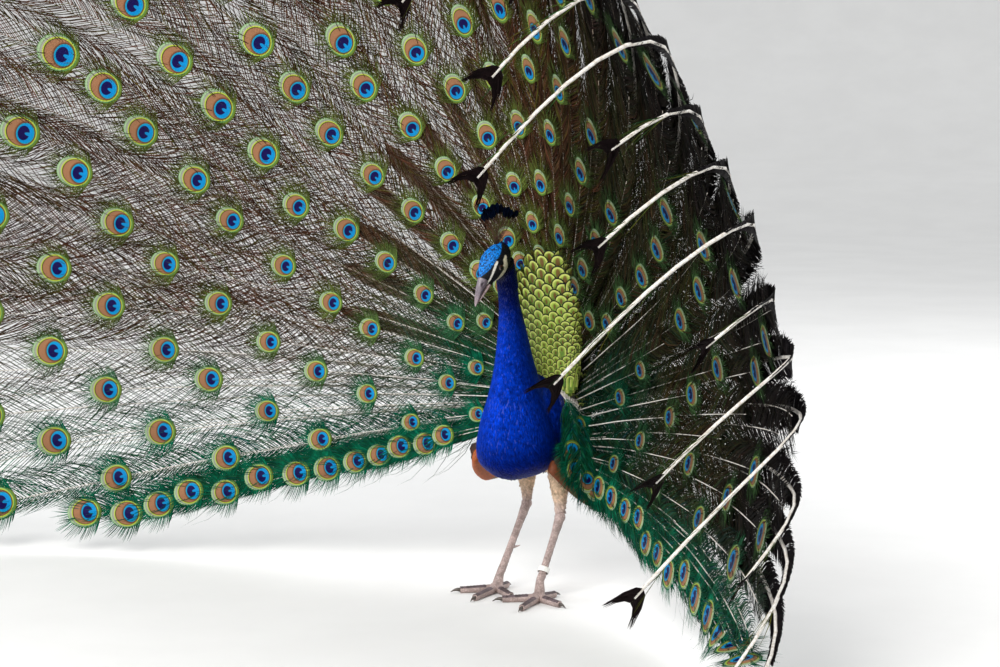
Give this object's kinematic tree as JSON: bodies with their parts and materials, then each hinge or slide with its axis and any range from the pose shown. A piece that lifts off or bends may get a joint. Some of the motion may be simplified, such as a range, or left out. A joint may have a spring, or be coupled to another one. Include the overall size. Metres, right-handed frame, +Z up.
{
  "type": "peacock",
  "caption": "Life-size still model of a male Indian peafowl standing with its train raised in a fan, one side rolled forward.",
  "frame": {"origin": "middle of the left foot's sole, on the floor", "axes": "+Z up, the bird faces -Y, +X is the bird's left"},
  "size_m": [2.0304, 1.1633, 1.6438],
  "materials": {
    "blue_plumage": "soft satin feathers, deep royal blue with a violet and green sheen",
    "face_plumage": "short velvety feathers, blue crown, bare white skin above and below the eye",
    "crest_plumage": "bare brown shafts with blue-black fans at their tips",
    "scale_plumage": "rounded golden-green feathers with black rims and coppery centres",
    "train_plumage": "loose bronze-green barbs, white shafts and eyes of gold, bronze, cyan and violet",
    "tail_plumage": "stiff brown tail feathers",
    "wing_plumage": "chestnut flight feathers and barred brown coverts",
    "down": "dark fluffy down",
    "thigh_plumage": "short buff feathers",
    "leg_skin": "grey-pink scaly skin",
    "horn": "grey-brown horn, paler at the tips",
    "eye": "wet, glossy dark brown",
    "ring": "white leg ring"
  },
  "bodies": {
    "root": {"neck": "blue_plumage", "torso": "blue_plumage", "head": "face_plumage", "crest": "crest_plumage", "back_scales": "scale_plumage", "train_right_low": "train_plumage", "train_right_mid": "train_plumage", "train_right_high": "train_plumage", "train_left_high": "train_plumage", "train_left_mid": "train_plumage", "train_left_low": "train_plumage", "tail": "tail_plumage", "wing_left": "wing_plumage", "wing_right": "wing_plumage", "vent": "down", "thigh_left": "thigh_plumage", "thigh_right": "thigh_plumage", "leg_left": "leg_skin", "leg_right": "leg_skin", "foot_left": "leg_skin", "foot_right": "leg_skin", "bill_upper": "horn", "bill_lower": "horn", "claw_left_inner": "horn", "claw_left_middle": "horn", "claw_left_outer": "horn", "claw_left_hind": "horn", "claw_right_inner": "horn", "claw_right_middle": "horn", "claw_right_outer": "horn", "claw_right_hind": "horn", "eye_left": "eye", "eye_right": "eye", "leg_ring": "ring"}
  },
  "joints": []
}
